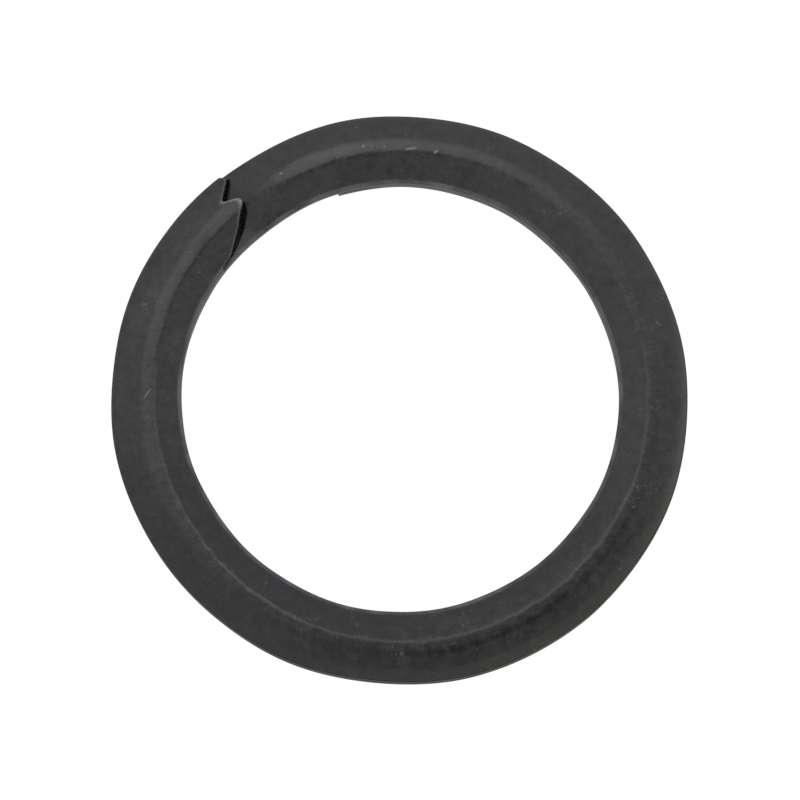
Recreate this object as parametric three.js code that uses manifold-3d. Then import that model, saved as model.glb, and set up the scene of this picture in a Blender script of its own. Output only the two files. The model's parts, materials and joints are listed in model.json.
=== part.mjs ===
// Split key ring: one length of black spring-steel wire wound into two flat turns.
//
// The wire starts at the upper free end, runs round counter-clockwise as the upper turn, steps
// down through the crossover, runs round again as the lower turn and stops at the lower free end.
// The half of each turn next to its free end bends away from the other turn when a key is slid
// on, so it is laid as short lengths that turn on each other. The rest moves as one.
//
// Millimetres and degrees. +Z is up, the ring lies on Z = 0 and its centre is on the Z axis.
// A place on the wire is an angle counted counter-clockwise from +X, which keeps growing past 360
// as the wire goes round.

import * as THREE from 'three';
import { mergeVertices } from 'three/addons/utils/BufferGeometryUtils.js';
import Module from 'manifold-3d';

// The ring
const OUTER_RADIUS = 16;
const BAND_WIDTH = 3.9;
const TURN_GAP = 0.08;             // daylight between the two turns
const LENGTH_GAP = 0.1;            // between one length of wire and the next

// The wire's section: straight side walls, and a crown on the side that faces outwards
const WALL_HEIGHT = 0.44;
const CROWN_RISE = 0.52;
const CROWN_WIDTH = 0.78;
const OUTER_BEVEL_WIDTH = 1.5;
const INNER_LIP_WIDTH = 0.22;

// The crossover, where the wire steps from one turn to the other
const CROSSOVER_SPAN = 30.5;
const CROWN_FADE_SPAN = 14;        // the crown fades out over this much wire at each end of it
const CROWN_FADE_OVERRUN = 1.25;   // and is gone this far past the upper end of the lower turn
const END_OVERLAP = 3.15;          // a free end's tip reaches this far over the crossover
const LIFT_SPAN = 25;              // the upper end rises over this much wire, to clear the crown

// The sheared ends. Each ring is cut from a long coil, so the lower end has what the same shear
// leaves on the other side of its cut: a notch for a tongue, and its inner corner reaches furthest.
const TIP_ANGLE = 128.6;
const NOTCH_ANGLE = 94.6;
const END_SLANT = 51;              // between the shear and a square end
const TONGUE_REACH = 0.85;
const TONGUE_SHOULDER = 0.74;      // outwards from the middle of the band
const TONGUE_TIP_WIDTH = 0.2;

// How the wire is divided
const FLEX_SPAN = 180;
const FLEX_LENGTHS = 8;
const STILL_LENGTHS = 7;
const CROSSOVER_LENGTHS = 3;
const FACET = 5.7;                 // longest straight piece of the faceted wire, in degrees

const INNER_RADIUS = OUTER_RADIUS - BAND_WIDTH;
const MIDDLE_RADIUS = OUTER_RADIUS - BAND_WIDTH / 2;
const CROWN_RADIUS = OUTER_RADIUS - OUTER_BEVEL_WIDTH - CROWN_WIDTH / 2;

const LOW_WALL = CROWN_RISE + WALL_HEIGHT / 2;               // middle of the lower turn's walls
const HIGH_WALL = LOW_WALL + WALL_HEIGHT + TURN_GAP;
const MID_HEIGHT = (LOW_WALL + HIGH_WALL) / 2;
const RING_HEIGHT = 2 * MID_HEIGHT;

const FULL_TURN = 360;
const CROSSOVER_END = TIP_ANGLE + FULL_TURN + END_OVERLAP;   // the wire is down here
const CROSSOVER_START = CROSSOVER_END - CROSSOVER_SPAN;      // and still up here
const CROSSOVER_CENTRE = (CROSSOVER_START + CROSSOVER_END) / 2;
const LOWER_TIP = 2 * CROSSOVER_CENTRE - TIP_ANGLE;          // the lower turn stops short of here

const smooth = THREE.MathUtils.smoothstep;

function crossoverWall(angle) {
  return HIGH_WALL - (HIGH_WALL - LOW_WALL) * smooth(angle, CROSSOVER_START, CROSSOVER_END);
}

// Share of the full crown on the wire's upper side: all of it on the upper turn, none below
function topCrown(angle) {
  const gone = CROSSOVER_END + CROWN_FADE_OVERRUN;
  return 1 - smooth(angle, gone - CROWN_FADE_SPAN, gone);
}

// Share of the full crown on the under side, which begins past the lower free end
function bottomCrown(angle) {
  const begins = LOWER_TIP - FULL_TURN;
  return smooth(angle, begins, begins + CROWN_FADE_SPAN);
}

// The upper end rides up by as much as the crossover has risen under its tip
const overTip = TIP_ANGLE + FULL_TURN;
const END_LIFT = crossoverWall(overTip) + topCrown(overTip) * CROWN_RISE - LOW_WALL;

function wallMiddle(angle) {
  const lift = END_LIFT * (1 - smooth(angle, TIP_ANGLE, TIP_ANGLE + LIFT_SPAN));
  return crossoverWall(angle) + lift;
}

// The section as columns from the outer wall to the inner one. Each is a radius and the share of
// the crown's height reached there, for a crown of the given share.
function sectionColumns(share) {
  const halfCrown = (CROWN_WIDTH / 2) * share;
  return [
    [OUTER_RADIUS, 0],
    [OUTER_RADIUS - 0.17 * OUTER_BEVEL_WIDTH, 0.29],
    [OUTER_RADIUS - 0.52 * OUTER_BEVEL_WIDTH, 0.66],
    [CROWN_RADIUS + halfCrown, 1],
    [CROWN_RADIUS - halfCrown, 1],
    [INNER_RADIUS + INNER_LIP_WIDTH, 0.27],
    [INNER_RADIUS, 0],
  ];
}

const STRIPS = sectionColumns(1).length - 1;
const FLAT_SHARE = 0.3;            // keeps a crown's edges apart where it has faded

// A length of wire: a bar with a strip for each face of the section, bent round the ring
function bendWire(from, to) {
  const facets = Math.ceil((to - from) / FACET);
  const bar = new THREE.BoxGeometry(1, 1, 1, STRIPS, 1, facets);
  bar.deleteAttribute('normal');
  bar.deleteAttribute('uv');
  const wire = mergeVertices(bar);
  const place = wire.attributes.position;
  for (let i = 0; i < place.count; i += 1) {
    const column = Math.round((place.getX(i) + 0.5) * STRIPS);
    const side = Math.sign(place.getY(i));
    const angle = THREE.MathUtils.lerp(from, to, place.getZ(i) + 0.5);
    const share = side > 0 ? topCrown(angle) : bottomCrown(angle);
    const [radius, rise] = sectionColumns(Math.max(share, FLAT_SHARE))[column];
    const height = wallMiddle(angle) + side * (WALL_HEIGHT / 2 + rise * share * CROWN_RISE);
    const turn = THREE.MathUtils.degToRad(angle);
    place.setXYZ(i, radius * Math.cos(turn), radius * Math.sin(turn), height);
  }
  return wire;
}

const wasm = await Module();
wasm.setup();

function toSolid(geometry) {
  const vertProperties = new Float32Array(geometry.attributes.position.array);
  const triVerts = new Uint32Array(geometry.index.array);
  return new wasm.Manifold(new wasm.Mesh({ numProp: 3, vertProperties, triVerts }));
}

function toGeometry(solid) {
  const { vertProperties, triVerts } = solid.getMesh();
  const geometry = new THREE.BufferGeometry();
  geometry.setAttribute('position', new THREE.BufferAttribute(vertProperties, 3));
  geometry.setIndex(new THREE.BufferAttribute(triVerts, 1));
  return geometry;
}

// What the shear takes off an end, as a prism. The outline is drawn with its origin at the tip of the
// tongue, x clockwise along the wire and y outwards. The upper end loses what lies clockwise of the
// cut, where past is 1, and the lower end what lies counter-clockwise, where past is -1.
function shearedAway(tipAngle, past) {
  const slant = THREE.MathUtils.degToRad(END_SLANT);
  const along = new THREE.Vector2(Math.sin(slant), Math.cos(slant)).multiplyScalar(BAND_WIDTH);
  const shoulder = new THREE.Vector2(-TONGUE_REACH, TONGUE_SHOULDER);
  const outside = shoulder.clone().add(along);
  const inside = along.clone().multiplyScalar(-1);
  const beyond = past * 2 * BAND_WIDTH;
  const outline = new THREE.Shape([
    inside,
    new THREE.Vector2(beyond, inside.y),
    new THREE.Vector2(beyond, outside.y),
    outside,
    shoulder,
    new THREE.Vector2(0, TONGUE_TIP_WIDTH),
    new THREE.Vector2(0, 0),
  ]);
  const prism = new THREE.ExtrudeGeometry(outline, { depth: 2 * RING_HEIGHT, bevelEnabled: false });
  prism.deleteAttribute('normal');
  prism.deleteAttribute('uv');
  const tip = THREE.MathUtils.degToRad(tipAngle);
  prism.rotateZ(tip - Math.PI / 2);
  prism.translate(
    MIDDLE_RADIUS * Math.cos(tip),
    MIDDLE_RADIUS * Math.sin(tip),
    MID_HEIGHT - RING_HEIGHT,
  );
  return mergeVertices(prism);
}

function sheared(wire, tipAngle, past) {
  return toGeometry(toSolid(wire).subtract(toSolid(shearedAway(tipAngle, past))));
}

const SHEAR_ALLOWANCE = 6;         // extra wire at a free end, for the shear to take off
const HALF_GAP = THREE.MathUtils.radToDeg(LENGTH_GAP / 2 / MIDDLE_RADIUS);

const ring = new THREE.Group();

function addLength(name, geometry) {
  const steel = new THREE.MeshStandardMaterial({ color: 0x1c1c1d, roughness: 0.55, metalness: 0.3 });
  const mesh = new THREE.Mesh(geometry, steel);
  mesh.name = name;
  ring.add(mesh);
}

// Lays a stretch of wire as equal lengths, with the given names in the order they come
function layLengths(from, to, names) {
  const span = (to - from) / names.length;
  names.forEach((name, i) => {
    const start = from + i * span;
    addLength(name, bendWire(start + HALF_GAP, start + span - HALF_GAP));
  });
}

const numbered = (name, count) => Array.from({ length: count }, (_, i) => `${name}_${i + 1}`);
const FLEX_LENGTH = FLEX_SPAN / FLEX_LENGTHS;
const flexNames = (turn) => numbered(`${turn}_turn_flex`, FLEX_LENGTHS - 1);

// Upper turn: its free end, the lengths that flex with it, then the half that stays still
const upperEnd = bendWire(TIP_ANGLE - SHEAR_ALLOWANCE, TIP_ANGLE + FLEX_LENGTH - HALF_GAP);
addLength('upper_free_end', sheared(upperEnd, TIP_ANGLE, 1));
const upperRoot = TIP_ANGLE + FLEX_SPAN;
layLengths(TIP_ANGLE + FLEX_LENGTH, upperRoot, flexNames('upper').reverse());
layLengths(upperRoot, CROSSOVER_START, numbered('upper_turn_still', STILL_LENGTHS).reverse());

layLengths(CROSSOVER_START, CROSSOVER_END, numbered('crossover', CROSSOVER_LENGTHS));

// Lower turn: the same, from the crossover round to its own free end
const lowerRoot = LOWER_TIP - FLEX_SPAN;
const lowerEndStart = LOWER_TIP - FLEX_LENGTH;
layLengths(CROSSOVER_END, lowerRoot, numbered('lower_turn_still', STILL_LENGTHS));
layLengths(lowerRoot, lowerEndStart, flexNames('lower'));
const lowerEnd = bendWire(lowerEndStart + HALF_GAP, LOWER_TIP + SHEAR_ALLOWANCE);
addLength('lower_free_end', sheared(lowerEnd, NOTCH_ANGLE, -1));

export default ring;
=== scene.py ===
import json
import math

import bmesh
import bpy
from mathutils import Matrix, Vector, noise


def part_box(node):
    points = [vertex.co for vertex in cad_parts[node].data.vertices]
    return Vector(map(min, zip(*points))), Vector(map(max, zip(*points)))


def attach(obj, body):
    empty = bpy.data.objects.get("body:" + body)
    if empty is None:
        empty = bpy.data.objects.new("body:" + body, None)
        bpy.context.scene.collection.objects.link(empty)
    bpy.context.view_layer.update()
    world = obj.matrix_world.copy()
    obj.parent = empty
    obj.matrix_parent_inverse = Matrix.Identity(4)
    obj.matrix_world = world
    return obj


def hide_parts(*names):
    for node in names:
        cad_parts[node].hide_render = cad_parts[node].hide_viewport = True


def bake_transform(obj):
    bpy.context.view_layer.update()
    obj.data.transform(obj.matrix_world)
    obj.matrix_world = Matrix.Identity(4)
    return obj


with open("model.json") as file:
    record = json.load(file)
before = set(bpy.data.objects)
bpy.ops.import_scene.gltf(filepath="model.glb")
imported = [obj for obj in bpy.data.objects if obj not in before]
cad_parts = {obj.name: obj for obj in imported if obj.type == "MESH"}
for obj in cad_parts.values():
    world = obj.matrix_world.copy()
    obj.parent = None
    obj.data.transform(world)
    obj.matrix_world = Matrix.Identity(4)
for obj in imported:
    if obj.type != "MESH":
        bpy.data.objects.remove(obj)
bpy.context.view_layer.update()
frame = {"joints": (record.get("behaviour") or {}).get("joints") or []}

# Split key ring: one length of black spring-steel wire wound into two flat turns.
#
# The wire starts at the upper free end, runs round counter-clockwise as the upper turn, steps down
# through the crossover, runs round again as the lower turn and stops at the lower free end. A place
# on the wire is an angle counted counter-clockwise from +X, which keeps growing past 360. Sizes are
# in millimetres and degrees until a piece is finished, and then it is scaled to metres.
MM = 0.001
FULL_TURN = 360

# The band
OUTER_RADIUS = 16.0
BAND_WIDTH = 3.9
WALL_HEIGHT = 0.44
EDGE_ROUND = 0.05
SEAM_ROUND = 0.015                 # of the edges where one turn lies on the other
SEAM_FILL = 0.028                  # each turn reaches this far into the gap between them
SHEAR_ROUND = 0.06

# The crown, on the side of the band that faces outwards. A knot is how far in from the outer wall
# the section changes slope, its height over the walls there, and how softly it changes.
CROWN_MIDDLE = 1.87
CROWN_WIDTH = 0.78
CROWN_TOP = 0.522
CROWN_TILT = 0.02                  # rise of the crown's inner edge over its rounded outer one
CROWN_EDGE_SOFTNESS = 0.05
CROWN_SHOULDER = 0.24              # the crown rounds over into the outer bevel across this
CROWN_SHOULDER_DROP = 0.03
LEAST_FLAT = 0.05                  # width of the crown beyond its shoulder
SHOULDER_KNOTS = ((0.05, 0.08, 0.03), (0.3, 0.2, 0.1), (0.55, 0.28, 0.1), (0.85, 0.347, 0.12))
LIP_KNOTS = ((3.64, 0.11, 0.05), (3.82, 0.06, 0.03))

# The turns are a little out of round, and the crown isn't quite in the middle of the band. Each wave
# is a count per turn, a height and where it peaks, in radians.
OUTER_WAVES = (
    (1, 0.05, 5.12),
    (2, 0.055, 2.16),
    (3, 0.024, 1.21),
    (7, 0.016, 0.68),
    (8, 0.019, 0.3),
    (12, 0.02, 0.18),
)
INNER_WAVES = ((1, 0.04, 5.79), (2, 0.026, 2.5), (4, 0.03, 1.44), (13, 0.015, 0.08))
CROWN_WAVES = ((1, 0.045, math.pi), (2, 0.09, 0.0))
WALL_WANDER = 0.01
CROWN_EDGE_WANDER = 0.06
CROWN_EDGE_RIPPLE = 0.04
ROUGHNESS = ((1.3, 0.006), (0.42, 0.0035))     # size and height of unevenness in the broad faces
SMOOTH_RIM = 0.3                   # the unevenness fades out this near to a wall

# Where the wire steps from one turn to the other
TIP_ANGLE = 128.6
CROSSOVER_SPAN = 30.5
CROWN_FADE_SPAN = 14
CROWN_FADE_OVERRUN = 1.25
RIDGE_FADE = 0.12                  # share of the crown's height at which it has narrowed to a ridge
NARROWEST_RIDGE = 0.06             # share of its width that is left there
SEAM_SPAN = 8                      # the under side becomes a seam over this much wire
END_OVERLAP = 3.15
LIFT_SPAN = 25
CROSSOVER_END = TIP_ANGLE + FULL_TURN + END_OVERLAP
CROSSOVER_START = CROSSOVER_END - CROSSOVER_SPAN
CROSSOVER_CENTRE = (CROSSOVER_START + CROSSOVER_END) / 2
LOWER_TIP = 2 * CROSSOVER_CENTRE - TIP_ANGLE
OVER_TIP = TIP_ANGLE + FULL_TURN

# The shear of the upper end: where it cuts the wire at each radius, from the outer wall inwards. The
# ring is cut from a long coil, so the lower end has what the same shear leaves on its other side.
SHEAR_OUTLINE = (
    (16.0, 129.2),
    (15.8, 128.4),
    (15.6, 128.3),
    (14.9, 131.6),
    (14.78, 132.0),
    (14.66, 131.9),
    (14.38, 129.3),
    (14.28, 128.7),
    (14.05, 128.65),
    (13.9, 129.4),
    (13.15, 133.2),
    (12.7, 136.5),
    (12.36, 139.4),
    (12.28, 143.2),
    (12.1, 144.0),
)
NOTCH_ANGLE = 92.9                 # where the lower end has its notch, as the upper end has its tip
CORNER_REACH = 1 / 6               # share of the crossover that the lower end reaches under
LOWER_CORNER = CROSSOVER_START + CORNER_REACH * CROSSOVER_SPAN + FULL_TURN

# The dent pressed beside the shear into the turn below: how much wire it takes up at each radius
DENT_OUTLINE = (
    (15.8, 0.1),
    (15.6, 0.7),
    (14.9, 0.8),
    (14.7, 0.2),
    (14.1, 0.1),
    (13.7, 1.4),
    (13.0, 1.7),
    (12.6, 1.2),
    (12.4, 0.4),
    (12.2, 0.1),
)
DENT_DEPTH = 0.42
DENT_FADE_SPAN = 12                # it fades out over this much wire past the crossover

# How far the finish is made lighter, as shares: rubbed through to lighter metal, and in places painted
# highlights as well
LIP_WEAR_AND_HIGHLIGHT = 0.28
LIP_WEAR_AND_HIGHLIGHT_CHANGE = 0.3
SHEAR_WEAR_AND_HIGHLIGHT = 0.3
TONGUE_WEAR_AND_HIGHLIGHT = 1.1
CROWN_HIGHLIGHT = 0.035
CROSSOVER_WEAR = 0.12
CORNER_WEAR = 0.22
TONGUE_RADIUS = 14.35              # of the tongue's outer side, which is made lightest: partly worn bare, partly a painted highlight
LIT_CROWN_SIDE = 140                 # the crown has a painted highlight on this side of the ring, where the light falls
CROWN_LINE = 13.72                 # radius of a thin broken line of wear along the crown

# Nicks in the finish: x and y of the middle, heading in degrees, length and width
NICKS = (
    (0.65, 13.98, 8, 0.7, 0.14),
    (2.03, 13.8, 30, 0.3, 0.18),
    (-6.62, 12.62, 20, 0.2, 0.13),
    (-7.33, 10.66, 10, 0.25, 0.14),
    (-2.02, 14.12, 60, 0.2, 0.12),
    (-13.95, 0.0, 55, 0.75, 0.07),
)

BLACK = (0.0055, 0.0055, 0.0057, 1)
DARK_GREY = (0.024, 0.024, 0.0242, 1)
BLUE_BLACK = (0.005, 0.006, 0.016, 1)
BROWN_BLACK = (0.03, 0.023, 0.014, 1)
BARE_STEEL = (0.2, 0.198, 0.19, 1)
WHITE = (1, 1, 1, 1)
WARM_WHITE = (1.0, 0.98, 0.92, 1)
SEEN_WHITE = 1.02                  # strength of the white that the camera sees round the ring

# The studio's light: its general level, then patches of more or less of it. Each patch is a
# strength, how far east and north of straight up its middle is, and its spread, in degrees.
LIGHT_LEVEL = 0.83
LIGHT_PATCHES = (
    (1.3, -9, 21, 12),
    (1.0, 3, 23, 10),
    (0.3, -36, 16, 15),
    (0.7, 60, 4, 26),
    (0.35, -13, 12, 9),
    (-0.8, 9, -1, 15),
    (-0.5, 0, -11, 12),
)
LOW_LIGHT = 0.5                    # more light near the horizon
LEAST_LIGHT = 0.03

# How fine the meshes are
COLUMNS = 76
ROW_STEP = 0.46
CROSSOVER_ROW_STEP = 0.2
END_ROWS = 72
END_SPAN = 20                      # a sheared end is laid out over this much wire and then fitted
END_CROWDING = 1.7                 # its rows lie closer together towards the shear
LAST_REACH = 3.1                   # degrees of wire between the last hinge and the sheared end
SHARP_EDGE = 50                    # edges that turn by more than this are drawn sharp

LOWER_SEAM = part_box("lower_turn_still_4")[1].z / MM
UPPER_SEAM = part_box("upper_turn_still_4")[0].z / MM
LOW_WALL = LOWER_SEAM - WALL_HEIGHT / 2
HIGH_WALL = UPPER_SEAM + WALL_HEIGHT / 2
CROWN_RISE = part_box("upper_turn_still_4")[1].z / MM - UPPER_SEAM - WALL_HEIGHT


def smooth(value, start, end):
    """0 before start, 1 after end and an S-curve between."""
    share = min(max((value - start) / (end - start), 0), 1)
    return share * share * (3 - 2 * share)


def mix(a, b, share):
    return a + (b - a) * share


def along(points, value):
    """Reads a broken line given as (value, result) points whose values fall."""
    for (high, first), (low, last) in zip(points, points[1:]):
        if value >= low:
            return mix(last, first, min((value - low) / (high - low), 1))
    return points[-1][1]


def soft_ramp(distance, softness):
    """0 on one side of a corner and the distance on the other, rounded over the softness."""
    return (distance + math.hypot(distance, softness)) / 2


def waves(angle, parts):
    """The sum of some waves round the ring."""
    turn = math.radians(angle)
    return sum(height * math.cos(count * (turn - peak)) for count, height, peak in parts)


def wander(angle, span, seed):
    """A slow random change along the wire, from -1 to 1."""
    return noise.noise(Vector((angle / span, seed, 0.5)))


def top_crown(angle):
    """Share of the crown's full height on the wire's upper side."""
    gone = CROSSOVER_END + CROWN_FADE_OVERRUN
    return 1 - smooth(angle, gone - CROWN_FADE_SPAN, gone)


def bottom_crown(angle):
    """Share of the crown's full height on the wire's under side."""
    begins = LOWER_TIP - FULL_TURN
    return smooth(angle, begins, begins + CROWN_FADE_SPAN)


def crossover_wall(angle):
    return mix(HIGH_WALL, LOW_WALL, smooth(angle, CROSSOVER_START, CROSSOVER_END))


# The upper end rides up by as much as the crossover has risen under its tip
END_LIFT = crossover_wall(OVER_TIP) + top_crown(OVER_TIP) * CROWN_RISE - LOW_WALL


def wall_middle(angle):
    lift = END_LIFT * (1 - smooth(angle, TIP_ANGLE, TIP_ANGLE + LIFT_SPAN))
    return crossover_wall(angle) + lift


def crown_edges(angle, ridge):
    """How far in the crown's outer and inner edges lie, where its width has the given share left."""
    middle = CROWN_MIDDLE + waves(angle, CROWN_WAVES)
    half = CROWN_WIDTH / 2 * ridge
    outer_wander = CROWN_EDGE_WANDER * wander(angle, 4.1, 1) + CROWN_EDGE_RIPPLE * wander(angle, 1.5, 2)
    inner_wander = CROWN_EDGE_WANDER * wander(angle, 3.3, 3) + CROWN_EDGE_RIPPLE * wander(angle, 1.3, 4)
    return middle - half + outer_wander, middle + half + inner_wander


def crown_height(inset, angle, ridge):
    """Height of the crown over the walls, for a crown whose width has the given share left."""
    outer_edge, inner_edge = crown_edges(angle, ridge)
    shoulder = outer_edge + CROWN_SHOULDER * ridge
    shoulder_top = CROWN_TOP - CROWN_TILT * ridge
    knots = [(0, 0, 0), *SHOULDER_KNOTS]
    knots.append((outer_edge, shoulder_top - CROWN_SHOULDER_DROP * ridge, CROWN_EDGE_SOFTNESS))
    knots.append((shoulder, shoulder_top, CROWN_EDGE_SOFTNESS))
    knots.append((max(inner_edge, shoulder + LEAST_FLAT), CROWN_TOP, 2 * CROWN_EDGE_SOFTNESS))
    knots += [*LIP_KNOTS, (BAND_WIDTH, 0, 0)]
    slopes = [(b[1] - a[1]) / (b[0] - a[0]) for a, b in zip(knots, knots[1:])]
    height = slopes[0] * inset
    for knot, before, after in zip(knots[1:], slopes, slopes[1:]):
        height += (after - before) * soft_ramp(inset - knot[0], knot[2])
    return height


def edge_drop(distance, rounding):
    """How far a rounded edge falls away at a distance from the face beyond it."""
    if distance >= rounding:
        return 0
    return rounding - math.sqrt(rounding**2 - (rounding - max(distance, 0)) ** 2)


def outline(angle):
    """How far the outer and the inner wall stand off a true circle."""
    outer = waves(angle, OUTER_WAVES) + WALL_WANDER * wander(angle, 9, 5)
    inner = waves(angle, INNER_WAVES) + WALL_WANDER * wander(angle, 9, 6)
    return outer, inner


def inset_of(column):
    """How far in from the outer wall a column lies: closer together near both walls."""
    step = min(max((column - 1) / (COLUMNS - 2), 0), 1)
    return BAND_WIDTH * (1 - math.cos(math.pi * step)) / 2


def dent(angle, inset):
    """How deep the upper side is pressed down under the upper free end and just beside it."""
    radius = OUTER_RADIUS - inset
    short_of_shear = along(SHEAR_OUTLINE, radius) + FULL_TURN - angle
    taken = along(DENT_OUTLINE, radius)
    flank = 1 - smooth(short_of_shear, 0.45 * taken, 1.1 * taken + 0.3)
    settled = 1 - smooth(angle, CROSSOVER_END, CROSSOVER_END + DENT_FADE_SPAN)
    across = smooth(inset, 0.15, 0.6) * smooth(BAND_WIDTH - inset, 0.05, 1.2)
    return DENT_DEPTH * across * flank * settled


def wear_and_highlight_share(column, angle, past_shear):
    """How much lighter the finish is at a vertex, from wear and painted highlights: the most that any of
    these places gives it.
    """
    inset = inset_of(column)
    # The inner lip is lighter all round: partly wear, partly a painted highlight along its rounded edge
    lip_change = LIP_WEAR_AND_HIGHLIGHT_CHANGE * wander(angle, 5, 7)
    lip = smooth(inset, BAND_WIDTH - 0.26, BAND_WIDTH - 0.14) * (LIP_WEAR_AND_HIGHLIGHT + lip_change)

    # The cut edges of a sheared end are lighter: partly a worn burr, partly painted highlights along the
    # edges, strongest on the tongue
    tongue = 1 - smooth(abs(OUTER_RADIUS - inset - TONGUE_RADIUS), 0.25, 0.6)
    burr_wear_and_highlight = 1 - smooth(past_shear, 0.06, mix(0.18, 0.36, tongue))
    burr_wear_and_highlight *= mix(SHEAR_WEAR_AND_HIGHLIGHT, TONGUE_WEAR_AND_HIGHLIGHT, tongue)

    tapering = 1 - smooth(angle, CROSSOVER_START + 10, OVER_TIP)
    outer_edge, inner_edge = crown_edges(angle, tapering)
    past_outer = smooth(inset, outer_edge - 0.08, outer_edge + 0.08)
    past_inner = smooth(inset, inner_edge - 0.06, inner_edge + 0.06)
    # Painted highlight: the crown is painted lighter on the side of the ring that faces the light; near
    # the crossover it is rubbed lighter
    lit_side = smooth(math.cos(math.radians(angle - LIT_CROWN_SIDE)), -0.2, 0.6)
    stepping = smooth(angle, CROSSOVER_START - 20, CROSSOVER_START + 8)
    crown = (past_outer - past_inner) * mix(CROWN_HIGHLIGHT * lit_side, CROSSOVER_WEAR, stepping)
    crown *= smooth(tapering, 0, 0.1)

    corner = 1 - smooth(abs(inset - inner_edge), 0.02, 0.08)
    corner *= CORNER_WEAR * smooth(angle, 165, 178) * (1 - smooth(angle, 235, 262))
    return max(lip, burr_wear_and_highlight, crown, corner)


def place(column, side, angle, past_shear=1.0):
    """The place of a vertex, from its column across the band, its side of the wire and its angle."""
    inset = inset_of(column)
    outer, inner = outline(angle)
    radius = OUTER_RADIUS - inset + mix(outer, inner, inset / BAND_WIDTH)
    share = top_crown(angle) if side > 0 else bottom_crown(angle)
    ridge = smooth(share, RIDGE_FADE, 1)
    rise = share * crown_height(inset, angle, max(ridge, NARROWEST_RIDGE))
    if side > 0:
        seam = 1 - share
    else:
        seam = 1 - smooth(angle, CROSSOVER_START - SEAM_SPAN, CROSSOVER_START)
    edge_round = mix(EDGE_ROUND, SEAM_ROUND, seam)
    rise += SEAM_FILL * seam - edge_drop(min(inset, BAND_WIDTH - inset), edge_round)
    if column in (0, COLUMNS):
        rise -= edge_round
    turn = math.radians(angle)
    spot = Vector((radius * math.cos(turn), radius * math.sin(turn), side))
    rough = sum(height * noise.noise(spot / size) for size, height in ROUGHNESS)
    rise += rough * min(1, inset / SMOOTH_RIM, (BAND_WIDTH - inset) / SMOOTH_RIM)
    rise -= edge_drop(past_shear, SHEAR_ROUND)
    if side > 0 and CROSSOVER_CENTRE < angle < CROSSOVER_END + DENT_FADE_SPAN:
        rise -= dent(angle, inset)
    spot.z = wall_middle(angle) + side * (WALL_HEIGHT / 2 + rise)
    return spot


def finish_mesh(bm, name, material):
    """Turns a bmesh in millimetres into a piece in metres."""
    bmesh.ops.scale(bm, vec=(MM, MM, MM), verts=bm.verts)
    bmesh.ops.recalc_face_normals(bm, faces=bm.faces)
    for face in bm.faces:
        face.smooth = True
    for edge in bm.edges:
        edge.smooth = edge.calc_face_angle(0) < math.radians(SHARP_EDGE)
    mesh = bpy.data.meshes.new(name)
    bm.to_mesh(mesh)
    bm.free()
    mesh.materials.append(material)
    piece = bpy.data.objects.new(name, mesh)
    bpy.context.scene.collection.objects.link(piece)
    return piece


def spin_bar(start, end, rows):
    """A bar of the band's width bent from one angle to another, with a strip for each column."""
    bm = bmesh.new()
    bmesh.ops.create_grid(bm, x_segments=COLUMNS, y_segments=1, size=0.5)
    upright = Matrix.Rotation(math.radians(90), 3, "X")
    bmesh.ops.rotate(bm, verts=bm.verts, cent=(0, 0, 0), matrix=upright)
    bmesh.ops.scale(bm, vec=(BAND_WIDTH, 1, WALL_HEIGHT), verts=bm.verts)
    bmesh.ops.translate(bm, vec=(OUTER_RADIUS - BAND_WIDTH / 2, 0, 0), verts=bm.verts)
    to_start = Matrix.Rotation(math.radians(start), 3, "Z")
    bmesh.ops.rotate(bm, verts=bm.verts, cent=(0, 0, 0), matrix=to_start)
    bmesh.ops.spin(
        bm,
        geom=bm.faces[:],
        cent=(0, 0, 0),
        axis=(0, 0, 1),
        angle=math.radians(end - start),
        steps=rows,
        use_merge=False,
        use_duplicate=False,
    )
    return bm


def column_of(vertex):
    """Which column of a fresh bar a vertex is in."""
    return round((OUTER_RADIUS - vertex.co.xy.length) / BAND_WIDTH * COLUMNS)


def wire_length(name, material, start, end, row_step=ROW_STEP):
    """A length of wire with square ends."""
    bm = spin_bar(start, end, round((end - start) / row_step))
    wear_and_highlight = bm.verts.layers.float.new("wear_and_highlight")
    for vertex in bm.verts:
        column = column_of(vertex)
        turned = math.degrees(math.atan2(vertex.co.y, vertex.co.x)) - start
        angle = start + (turned + 1) % FULL_TURN - 1
        vertex.co = place(column, math.copysign(1, vertex.co.z), angle)
        vertex[wear_and_highlight] = wear_and_highlight_share(column, angle, 1)
    return finish_mesh(bm, name, material)


def sheared_end(name, material, joined, lower):
    """A free end of the wire from its shear to the angle where it joins the next length."""
    moved = NOTCH_ANGLE - TIP_ANGLE + 2 * FULL_TURN if lower else 0
    bm = spin_bar(0, END_SPAN, END_ROWS)
    wear_and_highlight = bm.verts.layers.float.new("wear_and_highlight")
    for vertex in bm.verts:
        column = column_of(vertex)
        share = math.degrees(math.atan2(vertex.co.y, vertex.co.x)) / END_SPAN
        radius = OUTER_RADIUS - inset_of(column)
        shear = along(SHEAR_OUTLINE, radius) + moved
        shear = min(shear, LOWER_CORNER) if lower else shear
        angle = mix(shear, joined, max(share, 0) ** END_CROWDING)
        past_shear = math.radians(abs(angle - shear)) * radius
        vertex.co = place(column, math.copysign(1, vertex.co.z), angle, past_shear)
        vertex[wear_and_highlight] = wear_and_highlight_share(column, angle, past_shear)
    return finish_mesh(bm, name, material)


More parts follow.
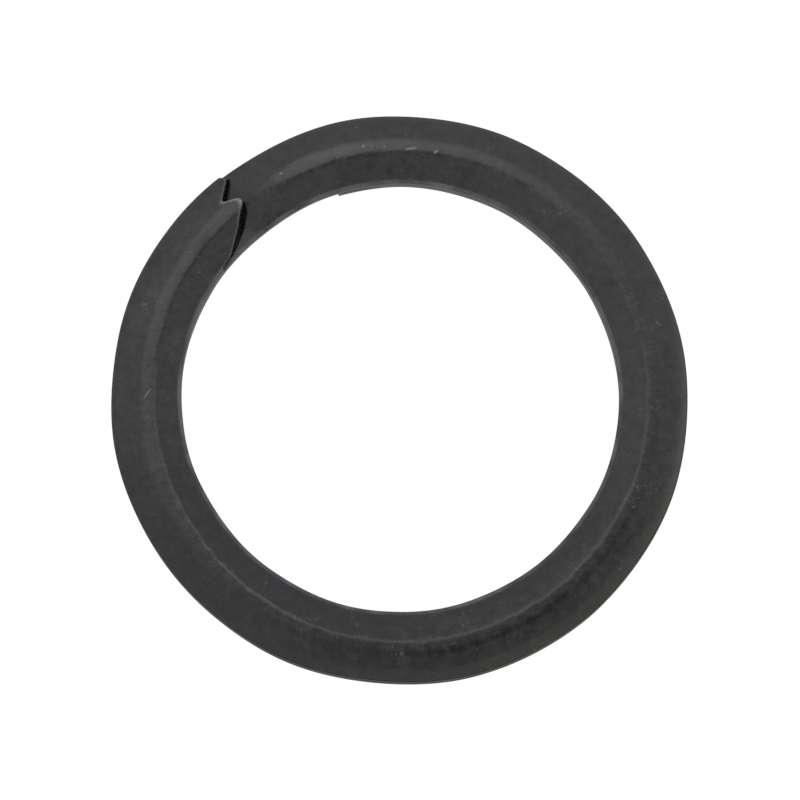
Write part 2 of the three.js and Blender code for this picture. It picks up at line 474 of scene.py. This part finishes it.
class Socket:
    """A shader socket that takes part in Python sums, each adding a Math node."""

    def __init__(self, shader, socket):
        self.shader = shader
        self.socket = socket

    def math(self, operation, *others):
        return self.shader.math(operation, self, *others)

    def __add__(self, other):
        return self.math("ADD", other)

    __radd__ = __add__

    def __mul__(self, other):
        return self.math("MULTIPLY", other)

    __rmul__ = __mul__

    def __sub__(self, other):
        return self.math("SUBTRACT", other)

    def __rsub__(self, other):
        return self.shader.math("SUBTRACT", other, self)

    def __truediv__(self, other):
        return self.math("DIVIDE", other)

    def __rtruediv__(self, other):
        return self.shader.math("DIVIDE", other, self)


class Shader:
    """Adds nodes to a node tree."""

    def __init__(self, tree):
        self.tree = tree
        tree.nodes.clear()

    def add(self, kind, settings=None, sockets=None):
        """A node of a type, with its settings made first and then the values or links of its sockets."""
        node = self.tree.nodes.new(kind)
        for key, value in (settings or {}).items():
            setattr(node, key, value)
        for key, value in (sockets or {}).items():
            if isinstance(value, Socket):
                self.tree.links.new(value.socket, node.inputs[key])
            else:
                node.inputs[key].default_value = value
        return node

    def out(self, node, key=0):
        return Socket(self, node.outputs[key])

    def math(self, operation, *values):
        sockets = dict(enumerate(values))
        return self.out(self.add("ShaderNodeMath", {"operation": operation}, sockets))

    def vector(self, operation, *values, result="Vector"):
        sockets = dict(enumerate(values))
        return self.out(self.add("ShaderNodeVectorMath", {"operation": operation}, sockets), result)

    def dot(self, a, b):
        return self.vector("DOT_PRODUCT", a, b, result="Value")

    def split(self, vector):
        node = self.add("ShaderNodeSeparateXYZ", {}, {0: vector})
        return [self.out(node, key) for key in range(3)]

    def noise(self, vector, size, detail, roughness):
        """Noise whose features are about the given size, in millimetres."""
        sockets = {"Vector": vector, "Scale": 1 / (size * MM), "Detail": detail, "Roughness": roughness}
        return self.out(self.add("ShaderNodeTexNoise", {}, sockets), "Fac")

    def ease(self, value, start, end):
        """0 before start, 1 after end and smooth between."""
        sockets = {"Value": value, "From Min": start, "From Max": end}
        node = self.add("ShaderNodeMapRange", {"interpolation_type": "SMOOTHSTEP"}, sockets)
        return self.out(node, "Result")

    def blend(self, factor, a, b):
        """A colour between two colours."""
        node = self.add("ShaderNodeMix", {"data_type": "RGBA"}, {0: factor, 6: a, 7: b})
        return self.out(node, 2)

    def choose(self, factor, a, b):
        """A surface or light between two."""
        return self.out(self.add("ShaderNodeMixShader", {}, {0: factor, 1: a, 2: b}))

    def glow(self, kind, colour, strength):
        """An even light, of the kind that suits a surface or the world."""
        return self.out(self.add(kind, {}, {"Color": colour, "Strength": strength}))

    def seen_by_camera(self):
        return self.out(self.add("ShaderNodeLightPath"), "Is Camera Ray")

    def coordinates(self, kind):
        return self.out(self.add("ShaderNodeTexCoord"), kind)


def nick(shader, point, nick_place, heading, length, width):
    """1 inside an oval in the plane of the ring, with a soft edge."""
    angle = math.radians(heading)
    ahead = (math.cos(angle), math.sin(angle), 0)
    aside = (-math.sin(angle), math.cos(angle), 0)
    off = shader.vector("SUBTRACT", point, nick_place)
    lengthways = shader.dot(off, ahead) / (length / 2 * MM)
    sideways = shader.dot(off, aside) / (width / 2 * MM)
    from_middle = lengthways * lengthways + sideways * sideways
    return 1 - shader.ease(from_middle, 0.5, 1.3)


def black_oxide_steel():
    """Matte black finish with a fine grain and painted light that makes it lighter towards the back and
    the right, rubbed lighter along edges with painted highlights there too, with specks and nicks.
    """
    material = bpy.data.materials.new("black_oxide_steel")
    material.use_nodes = True
    shader = Shader(material.node_tree)
    point = shader.coordinates("Object")
    x, y, z = shader.split(point)
    radius = (x * x + y * y).math("SQRT")

    cloud = shader.noise(point, 2.2, 3, 0.6)
    mottle = shader.noise(point, 0.5, 3, 0.55)
    grain = shader.noise(point, 0.18, 2, 0.6)
    rub_noise = shader.noise(point, 0.7, 4, 0.7)
    speck_noise = shader.noise(point, 0.24, 3, 0.6)

    from_line = (radius - CROWN_LINE * MM).math("ABSOLUTE")
    crown_line = (1 - shader.ease(from_line, 0.03 * MM, 0.14 * MM)) * shader.ease(rub_noise, 0.5, 0.7)
    wear_and_highlight = shader.out(shader.add("ShaderNodeAttribute", {"attribute_name": "wear_and_highlight"}), "Fac")
    # Wear and painted highlights, read from the vertices and broken up by noise
    worn_and_highlighted = wear_and_highlight * shader.ease(rub_noise, 0.15, 0.55)
    specks = shader.ease(speck_noise + (cloud - 0.5) * 0.6, 0.67, 0.82)
    nicks = 0.0
    for nick_x, nick_y, heading, length, width in NICKS:
        nick_place = (nick_x * MM, nick_y * MM, 0)
        nicks = nicks + nick(shader, point, nick_place, heading, length, width)
    nicks = nicks * shader.ease(z, 1.3 * MM, 1.5 * MM)       # none on the under side

    # Mottled black, with painted light that makes it a little lighter towards the back and the right,
    # and with a slight tint in two places
    tone_and_painted_light = mottle * 0.5 + cloud * 0.25 + grain * 0.25
    # Painted light: a lighter tone towards the back and the right stands for the light falling more
    # strongly there
    tone_and_painted_light = tone_and_painted_light + x * (0.025 / (14 * MM)) + y * (0.07 / (14 * MM))
    body = shader.blend(shader.ease(tone_and_painted_light, 0.3, 0.7), BLACK, DARK_GREY)
    inner_side = 1 - shader.ease(radius, 12.4 * MM, 13.5 * MM)
    front = 1 - shader.ease(y, -11 * MM, -2 * MM)
    body = shader.blend(inner_side * front * 0.5, body, BLUE_BLACK)
    outer_side = shader.ease(radius, 15.0 * MM, 16 * MM)
    right = shader.ease(x - y * 0.5, 4 * MM, 16 * MM)
    body = shader.blend(outer_side * right * 0.4, body, BROWN_BLACK)

    light = (crown_line * 0.1 + worn_and_highlighted * 0.9 + specks * 0.3 + nicks * 0.6).math("MINIMUM", 1.0)
    colour = shader.blend(light, body, BARE_STEEL)
    roughness = 0.2 + mottle * 0.12 + light * 0.1
    height = grain * 0.3 + mottle * 0.9 + cloud * 0.9
    bump = shader.add("ShaderNodeBump", {}, {"Strength": 0.7, "Distance": 0.02 * MM, "Height": height})
    surface = shader.add(
        "ShaderNodeBsdfPrincipled",
        {},
        {"Base Color": colour, "Roughness": roughness, "Normal": shader.out(bump), "IOR": 1.5},
    )
    shader.add("ShaderNodeOutputMaterial", {}, {"Surface": shader.out(surface)})
    return material


STEEL = black_oxide_steel()


def hinges(turn, floor):
    """The hinges of one turn from the still half to its free end, as (wire angle, joint)."""
    found = []
    for joint in frame["joints"]:
        if joint["name"].startswith(turn):
            x, y, _ = joint["pos_m"]
            found.append((floor + (math.degrees(math.atan2(y, x)) - floor) % FULL_TURN, joint))
    return found


def flexing_half(turn, floor, towards_tip):
    """The half turn next to a free end: a length of wire over each hinge, then the end itself."""
    places = hinges(turn, floor)
    step = abs(places[1][0] - places[0][0])
    inner = (OUTER_RADIUS - BAND_WIDTH - 0.2) * MM
    root = places[0][0] - towards_tip * step / 2
    edge = root
    for number, (angle, joint) in enumerate(places, 1):
        last = number == len(places)
        reach = LAST_REACH if last else step / 2
        far = angle + towards_tip * reach
        piece = wire_length(f"{turn}_bend_{number}", STEEL, min(edge, far), max(edge, far))
        before = inner * math.sin(math.radians(step / 2))
        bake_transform(piece)
        if not last:
            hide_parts(f"{turn}_turn_flex_{number}")
        edge = far
    end = sheared_end(f"{turn}_sheared_end", STEEL, edge, turn == "lower")
    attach(end, f"{turn}_end")
    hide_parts(f"{turn}_free_end")
    return root


def still_lengths(start, end, names, row_step=ROW_STEP):
    """The part of the wire that doesn't bend, as equal lengths that stand for the given nodes."""
    for number, name in enumerate(names):
        low = mix(start, end, number / len(names))
        high = mix(start, end, (number + 1) / len(names))
        piece = wire_length(f"{name}_wire", STEEL, low, high, row_step)
        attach(piece, "coil")
        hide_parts(name)


upper_root = flexing_half("upper", TIP_ANGLE, -1)
lower_root = flexing_half("lower", CROSSOVER_END, 1)
upper_still = [f"upper_turn_still_{i}" for i in range(7, 0, -1)]
crossover = [f"crossover_{i}" for i in range(1, 4)]
lower_still = [f"lower_turn_still_{i}" for i in range(1, 8)]
still_lengths(upper_root, CROSSOVER_START, upper_still)
still_lengths(CROSSOVER_START, CROSSOVER_END, crossover, CROSSOVER_ROW_STEP)
still_lengths(CROSSOVER_END, lower_root, lower_still)


def white_floor():
    """A plain floor that is evenly white to look at and throws up more light from behind the ring."""
    material = bpy.data.materials.new("white_floor")
    material.use_nodes = True
    shader = Shader(material.node_tree)
    _, y, _ = shader.split(shader.coordinates("Object"))
    near = shader.glow("ShaderNodeEmission", WARM_WHITE, 0.26)
    far = shader.glow("ShaderNodeEmission", WARM_WHITE, 0.4)
    lit = shader.choose(shader.ease(y, -14 * MM, 10 * MM), near, far)
    seen = shader.glow("ShaderNodeEmission", WHITE, SEEN_WHITE)
    both = shader.choose(shader.seen_by_camera(), lit, seen)
    shader.add("ShaderNodeOutputMaterial", {}, {"Surface": both})
    bm = bmesh.new()
    bmesh.ops.create_circle(bm, cap_ends=True, segments=64, radius=900)
    bmesh.ops.translate(bm, vec=(0, 0, -0.06), verts=bm.verts)
    floor = finish_mesh(bm, "floor", material)


def studio_light():
    """Soft light from all round, brighter from behind the ring and darker in front of its middle."""
    world = bpy.data.worlds.new("studio")
    bpy.context.scene.world = world
    world.use_nodes = True
    shader = Shader(world.node_tree)
    direction = shader.coordinates("Generated")

    def patch(east, north, spread):
        """1 towards the patch's middle, falling to 0 over its spread."""
        tilt = math.radians(math.hypot(east, north))
        heading = math.atan2(north, east)
        aim = (math.sin(tilt) * math.cos(heading), math.sin(tilt) * math.sin(heading), math.cos(tilt))
        return shader.ease(shader.dot(direction, aim), math.cos(math.radians(spread)), 1.0)

    level = LIGHT_LEVEL
    for strength, east, north, spread in LIGHT_PATCHES:
        level = level + strength * patch(east, north, spread)
    _, _, height = shader.split(direction)
    level = level + LOW_LIGHT * (1 - shader.ease(height, 0.05, 0.55))
    level = level.math("MAXIMUM", LEAST_LIGHT)
    lit = shader.glow("ShaderNodeBackground", WHITE, level)
    seen = shader.glow("ShaderNodeBackground", WHITE, SEEN_WHITE)
    both = shader.choose(shader.seen_by_camera(), lit, seen)
    shader.add("ShaderNodeOutputWorld", {}, {"Surface": both})
    bpy.context.scene.view_settings.view_transform = "Standard"


def camera():
    """Looks down from the front, a little off straight above."""
    tilt = math.radians(11.76)
    distance = 0.3
    aim = Vector((0.03 * MM, -0.15 * MM, 1.0 * MM))
    data = bpy.data.cameras.new("camera")
    data.lens = 243.5
    data.sensor_width = 36
    data.clip_start = 0.01
    eye = bpy.data.objects.new("camera", data)
    eye.location = aim + Vector((0, -math.sin(tilt), math.cos(tilt))) * distance
    eye.rotation_euler = (tilt, 0, 0)
    bpy.context.scene.collection.objects.link(eye)
    bpy.context.scene.camera = eye


white_floor()
studio_light()
camera()
